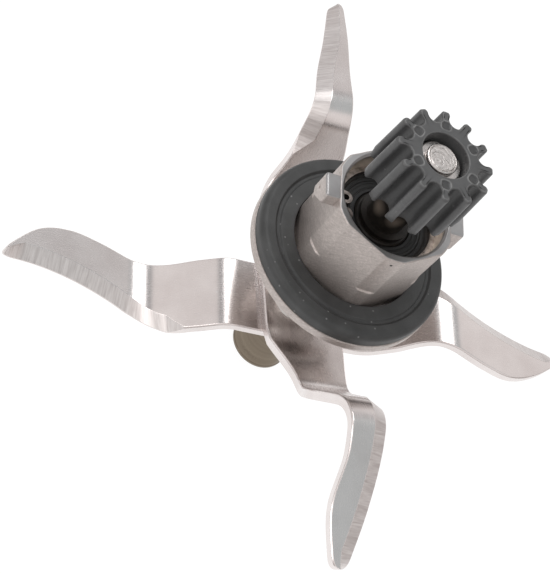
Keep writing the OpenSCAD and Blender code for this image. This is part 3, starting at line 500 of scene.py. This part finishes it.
def rivet_finish(name):
    """Riveted steel: an uneven face with swirled tool marks. The marks follow the distance from
    the axis, bent by a slow noise, so that they wander like a peened spiral."""
    made, tree, surface, place = start_finish(name, 1.0)
    slow = node(tree, "ShaderNodeTexNoise", {"Vector": place, "Scale": 520.0, "Detail": 2.0})
    bent = blend_colours(tree, 0.0022, place, slow.outputs["Color"])
    split = node(tree, "ShaderNodeSeparateXYZ", {"Vector": bent})
    flat = node(tree, "ShaderNodeCombineXYZ", {"X": split.outputs["X"], "Y": split.outputs["Y"]}).outputs[0]
    reach = node(tree, "ShaderNodeVectorMath", {0: flat}, operation="LENGTH").outputs["Value"]
    swirl = noise(tree, node(tree, "ShaderNodeCombineXYZ", {"X": reach}).outputs[0], 3200.0, 2.0)
    chip = noise(tree, place, 1500.0, 3.0)
    tone = blend_colours(tree, ramp(tree, swirl, 0.4, 0.6), (0.42, 0.39, 0.37), (0.8, 0.76, 0.74))
    tone = blend_colours(tree, ramp(tree, chip, 0.4, 0.65, 0.0, 0.6), tone, (0.6, 0.56, 0.54))
    tree.links.new(tone, surface.inputs["Base Color"])
    tree.links.new(ramp(tree, chip, 0.3, 0.7, 0.22, 0.42), surface.inputs["Roughness"])
    relief(tree, surface, [(swirl, 0.45, 0.0001), (chip, 0.5, 0.00014)])
    return made


shaft = piece("shaft_turned", [skin(revolved(shaft_grid), round_columns=False)], "rotor", "turned_steel",
              "drive_shaft", sharp=40)
riveted_steel = rivet_finish("riveted_steel")
for finish in (turned_steel, painted_shade_steel, riveted_steel):
    shaft.data.materials.append(finish)
# painted shade: the shaft between the bearing and the gear's recess takes the near-black finish, with its two
# tan patches of painted reflection
for facet in shaft.data.polygons:
    facet_z = facet.center.z * 1000
    facet.material_index = 2 if facet_z > recess_z + 0.5 else 1 if bearing_top < facet_z < recess_z else 0

# Washer under the riveted head: a bright punched ring of steel with two flats. It lies in the
# gear's recess, and the riveted end of the shaft presses it onto the gear.
punched_r, punched_flats, punched_hole_r, punched_top = 4.45, 3.4, rivet_neck_r + 0.05, 35.55
punched_profile = np.array([(punched_hole_r, recess_z + 0.01), (punched_r, recess_z + 0.01),
                            (punched_r, punched_top), (punched_hole_r, punched_top)])
punched_shape = rounded(punched_profile, np.array([0.1, 0.15, 0.3, 0.2]))
punched_grid = np.tile(punched_shape, (shaft_steps, 1, 1))
punched_flat_r = punched_flats / np.maximum(np.abs(np.sin(shaft_turn - gear_flats_turn)), 0.5)
flatted_r = punched_flat_r[:, None] - (punched_r - punched_grid[..., 0]) * 0.2
punched_grid[..., 0] = np.minimum(punched_grid[..., 0], flatted_r)
rivet_washer = piece("rivet_washer_ring", [skin(revolved(punched_grid))], "rotor", "bearing_steel",
                     "rivet_washer")
bright_washer = turned_finish("bright_washer", (0.9, 0.86, 0.83), (0.66, 0.61, 0.59), 0.22, 2600.0)
rivet_washer.data.materials.append(bright_washer)

# Drive gear: moulded plastic with twelve round-crested teeth and wide scalloped valleys. Six
# shallow ejector marks with raised rims lie round the recess that holds the rivet.
gear_r, tooth_count, root_r, valley_r, crest_r, gear_taper = 10.1, 12, 7.2, 1.49, 0.9, 0.045
gear_low, gear_face, gear_slope_h, gear_slope_w, recess_r = 25.4, 37.8, 0.5, 0.3, 4.8
gear_turn, mark_reach, mark_r, bore_gap = np.radians(-5), 6.6, 1.08, 0.05
gear_edge, recess_edge, mark_depth, mark_rim_h, boss_wall = 0.38, 0.3, 0.16, 0.06, 1.6
per_arc = 22


def tooth_outline():
    """Outline of the gear and its outward directions. One pitch is an arc bitten into the rim
    for the valley, then an arc round the crest of the tooth. The two arcs meet on the line
    between their centres, which leans from the square position by lean."""
    pitch = 2 * np.pi / tooth_count
    valley_at, crest_at = root_r + valley_r, (gear_r - crest_r) * np.exp(1j * pitch / 2)
    lean = np.pi / 2 - np.angle(crest_at - valley_at)
    bite = np.linspace(-1, 1, per_arc) * (np.pi / 2 + lean)
    valley_out = np.cos(bite) - 1j * np.sin(bite)
    swing = np.linspace(-1, 1, per_arc) * (np.pi / 2 + pitch / 2 + lean)
    crest_out = np.exp(1j * (swing + pitch / 2))
    valleys = np.exp(1j * (gear_turn + (np.arange(tooth_count) + 0.5) * pitch))[:, None]
    pitch_line = np.concatenate([valley_at - valley_r * valley_out, crest_at + crest_r * crest_out])
    outline = (valleys * pitch_line).ravel()
    outward = (valleys * np.concatenate([valley_out, crest_out])).ravel()
    return outline, outward


outline, outward = tooth_outline()
outline_count = len(outline)
own_turn = np.unwrap(np.angle(outline))
spread = np.arange(outline_count) * 2 * np.pi / outline_count
even = np.exp(1j * (0.4 * own_turn + 0.6 * (spread + (own_turn - spread).mean())))
quarter = np.linspace(0, np.pi / 2, 6)
rise = np.concatenate([
    gear_low + gear_edge * (1 - np.cos(quarter)), [gear_low + 2, gear_low + 6, gear_face - 2],
    np.linspace(gear_face - gear_slope_h - 0.1, gear_face - gear_edge, 5)[:-1],
    gear_face - gear_edge * (1 - np.sin(quarter))])
inset = np.concatenate([gear_edge * (1 - np.sin(quarter)), np.zeros(7), gear_edge * (1 - np.cos(quarter))])
limit = gear_r - np.maximum(gear_slope_w * (rise - gear_face + gear_slope_h) / gear_slope_h,
                            0.7 * np.clip(1 - (rise - gear_low) / 0.7, 0, 1))
limit = np.minimum(limit, gear_r)
wall = outline[:, None] - outward[:, None] * inset
wall = wall * np.minimum(1, (limit - inset * 0.3) / np.abs(wall))
wall = wall * (1 + gear_taper * (gear_face - rise) / (gear_face - gear_low))
wall = np.stack([wall.real, wall.imag, np.broadcast_to(rise, wall.shape)], -1)

# the gear's free face runs from the teeth in to the recess, and carries the marks
slide = np.linspace(0, 1, 40)[1:] ** 0.8
start_of_face = wall[:, -1, 0] + 1j * wall[:, -1, 1]
rim_of_recess = (recess_r + recess_edge) * even
face = start_of_face[:, None] * (1 - slide) + rim_of_recess[:, None] * slide
mark_turns = gear_turn + np.pi / 6 + np.arange(6) * np.pi / 3
local = face[..., None] * np.exp(-1j * mark_turns) - mark_reach
apart = (np.abs(local.real) ** 3 + np.abs(local.imag) ** 3) ** (1 / 3)
apart = apart.min(-1) / mark_r
mark_floor = -mark_depth / (1 + np.exp((apart - 0.8) / 0.035))
mark_rim = mark_rim_h * np.exp(-((apart - 0.98) / 0.13) ** 2)
face_grid = np.stack([face.real, face.imag, gear_face + mark_floor + mark_rim], -1)

# recess, bore with its two flats, boss, and the underside back out to the teeth
bore_flat = (flats_half + bore_gap) / np.maximum(np.abs(np.sin(np.angle(even) - gear_flats_turn)), 0.5)
bore = np.minimum(shaft_r + bore_gap, bore_flat)[:, None]
recess_line = np.concatenate([recess_r + recess_edge * (1 - np.sin(quarter[1:])),
                              [recess_r, recess_r, recess_r, recess_r - 0.3, 4.6]])
recess_rise = np.concatenate([gear_face - recess_edge * (1 - np.cos(quarter[1:])),
                              [gear_face - 0.6, recess_z + 0.4, recess_z + 0.05, recess_z, recess_z]])
boss_r = shaft_r + boss_wall
boss_line = np.array([boss_r - 0.2, boss_r, boss_r, boss_r, 6.6])
inner = np.concatenate([
    np.broadcast_to(recess_line, (outline_count, len(recess_line))), bore + 0.02, bore, bore, bore + 0.1,
    np.broadcast_to(boss_line, (outline_count, len(boss_line)))], 1)
inner_rise = np.concatenate([
    recess_rise, [recess_z, recess_z - 0.1, boss_z + 0.1, boss_z],
    [boss_z, boss_z + 0.2, gear_low - 0.1, gear_low, gear_low]])
inner_grid = np.stack([inner * even.real[:, None], inner * even.imag[:, None],
                       np.broadcast_to(inner_rise, inner.shape)], -1)
gear_grid = np.concatenate([wall, face_grid, inner_grid], 1)
# edge values: tooth edges, mark rims and the recess rim are paled partly as wear and partly as painted
# highlight; mark floors go below zero to darken
recess_wear_and_highlight = np.zeros(len(inner_rise))
recess_wear_and_highlight[:5] = np.linspace(0.4, 0, 5)
worn_and_lit = np.concatenate([
    np.broadcast_to(0.55 * inset / gear_edge, wall.shape[:2]),
    np.clip(mark_rim / mark_rim_h, 0, 1) + mark_floor / mark_depth,
    np.broadcast_to(recess_wear_and_highlight, inner.shape)], 1)
# painted shade: deep grows from the tooth tips to the valley bottoms and darkens the valleys in the gear's
# finish
deep = np.clip((gear_r - np.abs(gear_grid[..., 0] + 1j * gear_grid[..., 1])) / (gear_r - root_r), 0, 1)
deep[:, len(rise):] = 0
gear = piece("gear_moulding", [skin(gear_grid)], "rotor", "gear_plastic", "drive_gear", sharp=60,
             marks={"edge_wear_and_highlight": worn_and_lit, "deep": deep})
gear.data.materials.append(moulded_finish("gear_plastic", (0.078, 0.079, 0.08), 0.4, (0.26, 0.26, 0.26)))

# Blade collar: a turned steel flange on the shaft with a thin skirt over the neck, which the
# blades are clamped against.
collar_r, skirt_r, collar_top = 5.8, 9.6, -15.0
collar_profile = np.array([
    (shaft_r, blade_top_z, 0.2), (collar_r, blade_top_z, 0.3), (collar_r, collar_top - 2.4, 0.6),
    (skirt_r, collar_top - 1.2, 0.3), (skirt_r, collar_top, 0.25), (shaft_r, collar_top, 0.2)])
collar_shape = rounded(collar_profile[:, :2], collar_profile[:, 2])
collar = piece("collar_turned", [skin(revolved(collar_shape, 192))], "rotor", "turned_steel", "blade_collar")
collar.data.materials.append(turned_steel)

# Blades: two strips of 2 mm stainless sheet, laid crosswise. Each arm is bent across its width,
# and its leading edge is ground to a bevel on the gear side, with marks across the bevel.
sheet_t, bend_r, bevel_w, edge_t, edge_break, runout, tip_len = 2.0, 7.5, 3.2, 0.4, 0.3, 4.0, 2.6


def smooth_curve(values, share):
    """Smooth curve through equally spaced values: a cubic piece between each two, whose slope
    at a value is half the difference of its neighbours."""
    values = np.asarray(values, float)
    values = np.concatenate([[2 * values[0] - values[1]], values, [2 * values[-1] - values[-2]]])
    place = np.clip(share, 0, 1) * (len(values) - 3)
    first = np.minimum(place.astype(int), len(values) - 4)
    f = place - first
    a, b, c, d = (values[first + k] for k in range(4))
    return (2 * b + (c - a) * f + (2 * a - 5 * b + 4 * c - d) * f ** 2 + (3 * b - 3 * c + d - a) * f ** 3) / 2


def arm(length, start, half, bevel_start, bends, trail, lead):
    """Rings of an arm from the axis to its tip. The strip's slope is the sum of its bends, each
    of which adds its angle evenly over an arc of radius bend_r; its path is the running sum of
    the slope's cosine and sine. A ring's corners lie across the strip (y) and along its normal
    (h): the point (y, h) goes to (x - h sin slope, y, z + h cos slope)."""
    u = np.concatenate([np.arange(0, length - tip_len, 0.45),
                        length - tip_len * (1 - np.sin(np.linspace(0, np.pi / 2, 16)))])
    slope = sum(np.radians(angle) * np.clip((u - at) / (bend_r * np.radians(abs(angle))) + 0.5, 0, 1)
                for at, angle in bends)
    middle = (slope[1:] + slope[:-1]) / 2
    x = np.concatenate([[0], np.cumsum(np.diff(u) * np.cos(middle))])
    z = np.concatenate([[0], np.cumsum(np.diff(u) * np.sin(middle))])
    share = (u - start) / (length - start)
    y0, y1 = -half * smooth_curve(trail, share), half * smooth_curve(lead, share)
    over = np.clip((u - length + tip_len) / tip_len, 0, 1)
    full = (1 - over ** 3) ** (1 / 3)
    y0, y1 = (y0 + y1) / 2 + (y0 - y1) / 2 * full, (y0 + y1) / 2 + (y1 - y0) / 2 * full
    width = y1 - y0
    ground = np.clip((u - bevel_start) / runout, 0, 1)
    bevel = np.minimum(edge_break + ground * (bevel_w - edge_break), 0.6 * width)
    broken = np.minimum(edge_break, 0.2 * width)
    drop = edge_break + ground * (sheet_t - edge_t - edge_break)
    zero = np.zeros_like(u)
    section = np.stack([
        np.stack([y0, zero - edge_break], -1), np.stack([y0 + broken, zero], -1),
        np.stack([y1 - bevel, zero], -1), np.stack([y1, -drop], -1),
        np.stack([y1, zero - sheet_t], -1), np.stack([y0, zero - sheet_t], -1)], 1)
    radii = np.tile([0.3, 0.3, 0.3, 0.3, 0.2, 0.2], (len(u), 1))
    radii[:, 2:4] = np.stack([0.3 - 0.1 * ground, 0.3 - 0.22 * ground], -1)
    section = rounded(section, radii * np.clip(full, 0.05, 1)[:, None], 5)
    section[-1] = np.array([(y0[-1] + y1[-1]) / 2, -sheet_t / 2])
    y, h = section[..., 0], section[..., 1]
    slope = slope[:, None]
    rings = np.stack([x[:, None] - h * np.sin(slope), y, z[:, None] + h * np.cos(slope)], -1)
    per = y.shape[1] // 6
    on_bevel = np.zeros_like(y)
    on_bevel[:, 3 * per - 2:3 * per + 2] = (ground > 0.02)[:, None]
    strip = np.stack([np.broadcast_to(u[:, None], y.shape), y, h], -1)
    return rings, strip, on_bevel


def blade(name, node_name, z, turn, first, second, shape):
    """A strip with an arm each way. The second arm is turned half a turn about the axis, so its
    rings run backwards round the section, shifted by four corners of six."""
    rings, strip, on_bevel = arm(*shape, *first)
    other, other_strip, other_bevel = arm(*shape, *second)
    shift = -2 * (rings.shape[1] // 6)
    other = np.roll(other[:0:-1, ::-1], shift, 1) * [-1, -1, 1]
    other_strip = np.roll(other_strip[:0:-1, ::-1], shift, 1) * [-1, -1, 1]
    other_bevel = np.roll(other_bevel[:0:-1, ::-1], shift, 1)
    rings = np.concatenate([other, rings])
    strip, on_bevel = np.concatenate([other_strip, strip]), np.concatenate([other_bevel, on_bevel])
    x, y = rings[..., 0].copy(), rings[..., 1].copy()
    rings[..., 0] = x * np.cos(turn) - y * np.sin(turn)
    rings[..., 1] = x * np.sin(turn) + y * np.cos(turn)
    rings[..., 2] += z
    corners, quads = skin(rings, round_rows=False)
    return piece(name, [(corners, quads[:, ::-1])], "rotor", "blade_steel", node_name, sharp=45,
                 marks={"ground": on_bevel, "strip": strip * 0.001})


def blade_finish(name):
    """Rolled stainless sheet: satin, with a fine nap along the strip. On the bevel the ground
    attribute swaps it for a paler finish with grinding marks across the strip."""
    made, tree, surface, place = start_finish(name, 1.0)
    strip = node(tree, "ShaderNodeAttribute", attribute_name="strip").outputs["Vector"]
    ground = node(tree, "ShaderNodeAttribute", attribute_name="ground").outputs["Fac"]
    nap_place = node(tree, "ShaderNodeMapping", {"Vector": strip, "Scale": (0.06, 1.0, 1.0)}).outputs[0]
    nap = noise(tree, nap_place, 6500.0, 2.0, 0.5)
    grind_place = node(tree, "ShaderNodeMapping", {"Vector": strip, "Scale": (1.0, 0.07, 0.07)}).outputs[0]
    grind = noise(tree, grind_place, 2600.0, 3.0, 0.65)
    cloud = noise(tree, place, 110.0, 3.0)
    fleck = ramp(tree, noise(tree, place, 2300.0, 1.0), 0.7, 0.78)
    sheet = blend_colours(tree, ramp(tree, cloud, 0.35, 0.65), (0.72, 0.665, 0.65), (0.8, 0.75, 0.735))
    sheet = blend_colours(tree, ramp(tree, fleck, 0.0, 1.0, 0.0, 0.6), sheet, (0.82, 0.8, 0.79))
    bevel = blend_colours(tree, ramp(tree, grind, 0.3, 0.7), (0.62, 0.57, 0.555), (0.84, 0.8, 0.785))
    tree.links.new(blend_colours(tree, ground, sheet, bevel), surface.inputs["Base Color"])
    satin = ramp(tree, nap, 0.3, 0.7, 0.24, 0.28)
    coarse = ramp(tree, grind, 0.3, 0.7, 0.32, 0.44)
    rough = node(tree, "ShaderNodeMix", {0: ground, 2: satin, 3: coarse}).outputs[0]
    tree.links.new(rough, surface.inputs["Roughness"])
    low_nap = ramp(tree, nap, 0.0, 1.0, 0.45, 0.55)
    height = node(tree, "ShaderNodeMix", {0: ground, 2: low_nap, 3: grind}).outputs[0]
    relief(tree, surface, [(height, 0.12, 0.00003), (cloud, 0.06, 0.0002)])
    return made


blade_steel = blade_finish("blade_steel")

# an arm is its bends (millimetres from the axis and degrees), then the trailing and the leading
# edge's distance from the middle as shares of the half width, at equal steps out to the tip;
# a strip's shape is its arm's length, where the edges start to curve, its half width, and
# where the bevel starts
flange_arms = [
    ([(7.3, 20.2), (23.8, 40.6), (45.3, -76.1)],
     [1, 0.59, 0.83, 0.58, 0.62, 1, 0.92], [1, 0.75, 0.63, 0.46, 0.31, -0.02, -0.48]),
    ([(7.3, 6.7), (23.8, 56.3), (45.3, -69.9)],
     [1, 0.61, 0.85, 0.62, 0.64, 0.78, 0.85], [1, 0.96, 0.6, 0.47, 0.24, -0.14, -0.47])]
cap_arms = [
    ([(15.6, 39.9), (33.8, -49.9)],
     [1, 0.94, 1.15, 1.39, 1.49, 1.2, 0.64], [1, 0.93, 0.48, 0.13, -0.1, -0.23, -0.27]),
    ([(15.6, -36.5), (33.8, 44.0)],
     [1, 0.97, 1.11, 1.33, 1.44, 1.22, 0.46], [1, 0.93, 0.41, 0.07, -0.15, -0.25, -0.24])]
flange_strip, cap_strip = (76.1, 10.7, 8.45, 33.5), (64.2, 22.0, 8.0, 24.5)
flange_strip_turn = np.radians(-86.8)
flange_side = blade("flange_side_strip", "flange_side_blade", blade_top_z, flange_strip_turn,
                    *flange_arms, flange_strip)
cap_side = blade("cap_side_strip", "cap_side_blade", blade_top_z - sheet_t, 0.0, *cap_arms, cap_strip)
for strip in (flange_side, cap_side):
    strip.data.materials.append(blade_steel)

# Washer and cap nut: a punched washer, and a turned and polished mushroom nut with a waist,
# which is screwed onto the shaft's thread and clamps the whole stack.
washer_r, washer_t, washer_hole_r = 6.8, 1.0, 3.2
cap_r, cap_waist_r, cap_foot_r, cap_foot_h, thread_hole_r = 6.3, 4.1, 6.0, 1.4, 3.05
cap_len, cap_rim_h, cap_dome_h = 14.4, 0.8, 1.8
cap_top = washer_z - washer_t
cap_rim_z = cap_top - cap_len
washer_shape = rounded([(washer_hole_r, cap_top), (washer_r, cap_top), (washer_r, washer_z),
                        (washer_hole_r, washer_z)], np.full(4, 0.2))
washer = piece("washer_punched", [skin(revolved(washer_shape, 160))], "rotor", "turned_steel", "blade_washer")
washer.data.materials.append(turned_steel)

# the cap's profile runs from the middle of its dome round the lip, up the hollow flare to the
# waist and foot, and into its thread; each part is cut off where the next one starts
waist_top = cap_top - cap_foot_h
flare_h = waist_top - 5 - cap_rim_z
flare_r = (flare_h ** 2 + (cap_r - cap_waist_r) ** 2) / (2 * (cap_r - cap_waist_r))
flare_turn = np.linspace(0, np.arcsin(flare_h / flare_r), 14)[::-1]
flare = np.column_stack([cap_waist_r + flare_r * (1 - np.cos(flare_turn)),
                         cap_rim_z + flare_h - flare_r * np.sin(flare_turn)])
dome_r = (cap_r ** 2 + cap_dome_h ** 2) / (2 * cap_dome_h)
dome_turn = np.linspace(0, np.arcsin(cap_r / dome_r), 24)
dome = np.column_stack([dome_r * np.sin(dome_turn),
                        cap_rim_z - cap_rim_h - cap_dome_h + dome_r * (1 - np.cos(dome_turn))])
foot = rounded([(cap_waist_r, waist_top - 4.6), (cap_waist_r, waist_top), (cap_foot_r, waist_top),
                (cap_foot_r, cap_top), (thread_hole_r, cap_top), (thread_hole_r, cap_top - 4.6)],
               np.array([0.01, 0.5, 0.4, 0.3, 0.2, 0.01]))[5:-5]
lip_low_z = cap_rim_z - cap_rim_h
lip = rounded([(cap_r - 1, lip_low_z - 0.25), (cap_r, lip_low_z), (cap_r, cap_rim_z),
               (cap_r - 1, cap_rim_z + 0.5)], np.array([0.01, 0.35, 0.2, 0.01]))[7:-7]
thread_hole = np.array([(thread_hole_r, washer_z - 10.0), (0.0, washer_z - 11.0)])
cap_shape = np.concatenate([dome[:-1], lip, flare[1:], foot, thread_hole])
cap = piece("cap_nut_turned", [skin(revolved(cap_shape, 224), round_columns=False)], "rotor", "cap_steel",
            "cap_nut", sharp=40)
cap_steel = turned_finish("cap_steel", (0.24, 0.2, 0.155), (0.16, 0.13, 0.1), 0.14, 900.0)
cap.data.materials.append(cap_steel)

# Studio: a white table just under the cap, and a pale room whose darker parts give the steel
# its bands. One soft lamp stands behind the part and one beside the camera.
table_z = -0.0432
span = np.linspace(-1.2, 1.2, 9)
table_grid = np.stack([*np.meshgrid(span, span, indexing="ij"), np.full((9, 9), table_z)], -1)
table_mesh = bpy.data.meshes.new("table")
table_corners, table_quads = skin(table_grid, False, False)
table_mesh.from_pydata(table_corners.tolist(), [], table_quads.tolist())
table = bpy.data.objects.new("table", table_mesh)
bpy.context.scene.collection.objects.link(table)
paper, paper_tree, paper_surface, paper_place = start_finish("white_table", 0.0)
paper_cloud = ramp(paper_tree, noise(paper_tree, paper_place, 6.0), 0.3, 0.7)
paper_tone = blend_colours(paper_tree, paper_cloud, (0.1, 0.1, 0.1), (0.12, 0.12, 0.12))
paper_tree.links.new(paper_tone, paper_surface.inputs["Base Color"])
paper_surface.inputs["Roughness"].default_value = 0.9
paper_surface.inputs["Specular IOR Level"].default_value = 0.0
paper_surface.inputs["Emission Color"].default_value = (1.0, 1.0, 1.0, 1.0)
paper_surface.inputs["Emission Strength"].default_value = 0.95
table_mesh.materials.append(paper)


def direction(azimuth, elevation):
    """Unit vector towards an azimuth and an elevation, in degrees."""
    azimuth, elevation = np.radians(azimuth), np.radians(elevation)
    level = np.cos(elevation)
    return np.array([level * np.cos(azimuth), level * np.sin(azimuth), np.sin(elevation)])


def closeness(tree, toward, azimuth, elevation):
    """How close a view of the room is to a direction: the cosine of the angle between them."""
    return node(tree, "ShaderNodeVectorMath", {0: toward, 1: direction(azimuth, elevation)},
                operation="DOT_PRODUCT").outputs["Value"]


room = bpy.data.worlds.new("pale_room")
room.use_nodes = True
sky = room.node_tree
sky.nodes.clear()
toward = node(sky, "ShaderNodeTexCoord").outputs["Generated"]
toward_z = node(sky, "ShaderNodeSeparateXYZ", {"Vector": toward}).outputs["Z"]
to_lamp = closeness(sky, toward, 96, 60)
to_corner = closeness(sky, toward, 5, 68)
room_tone = blend_colours(sky, ramp(sky, toward_z, 0.12, 0.45), (0.34, 0.31, 0.3), (0.9, 0.87, 0.86))
lamp_rim = blend_colours(sky, ramp(sky, to_lamp, 0.8, 0.87), room_tone, (0.3, 0.31, 0.32))
dim_corner = blend_colours(sky, ramp(sky, to_corner, 0.86, 0.93), lamp_rim, (0.5, 0.54, 0.55))
glow = node(sky, "ShaderNodeBackground", {"Color": dim_corner, "Strength": 1.0})
world_output = node(sky, "ShaderNodeOutputWorld")
sky.links.new(glow.outputs["Background"], world_output.inputs["Surface"])
bpy.context.scene.world = room


def softbox(name, azimuth, elevation, distance, wide, tall, power):
    """A soft lamp that faces the part from the given direction."""
    lamp = bpy.data.lights.new(name, "AREA")
    lamp.shape, lamp.size, lamp.size_y, lamp.energy = "RECTANGLE", wide, tall, power
    made = bpy.data.objects.new(name, lamp)
    back = direction(azimuth, elevation)
    side = direction(azimuth + 90, 0)
    turned = np.column_stack([side, np.cross(back, side), back])
    made.matrix_world = Matrix.LocRotScale(tuple(back * distance), Matrix(turned.tolist()), None)
    bpy.context.scene.collection.objects.link(made)
    return made


softbox("main_softbox", 96, 60, 0.9, 0.5, 0.55, 2.8)
softbox("side_softbox", 190, 30, 1.0, 0.5, 0.5, 1.6)

# Camera: looks down at the part from the side of its flat. The shaft leans away from the line
# of sight by tilt, and in the picture it is turned by roll; the lens comes from the picture's
# focal length of 1657 pixels over its width of 550.
tilt, roll, part_turn = 0.67994, 0.80412, np.radians(38.1)
focal_pixels, picture_w = 1656.73, 550
shaft_line = np.array([np.sin(tilt) * np.cos(roll), -np.sin(tilt) * np.sin(roll), -np.cos(tilt)])
across = np.array([np.sin(roll), np.cos(roll), 0])
third = np.cross(shaft_line, across)
seen_x = np.cos(part_turn) * across + np.sin(part_turn) * third
seen_y = np.cos(part_turn) * third - np.sin(part_turn) * across
to_lens = np.column_stack([seen_x, seen_y, shaft_line])
part_in_view = np.array([0.70219, -0.32545, 16.0]) * flange_r * 0.001
lens = bpy.data.cameras.new("camera")
lens.sensor_fit, lens.sensor_width = "HORIZONTAL", 36.0
lens.lens = focal_pixels * 36.0 / picture_w
lens.clip_start, lens.clip_end = 0.01, 10.0
camera = bpy.data.objects.new("camera", lens)
rotation = Matrix((to_lens.T @ np.diag([1, -1, -1])).tolist())
camera.matrix_world = Matrix.LocRotScale(tuple(-to_lens.T @ part_in_view), rotation, None)
bpy.context.scene.collection.objects.link(camera)
bpy.context.scene.camera = camera
bpy.context.scene.view_settings.view_transform = "Standard"
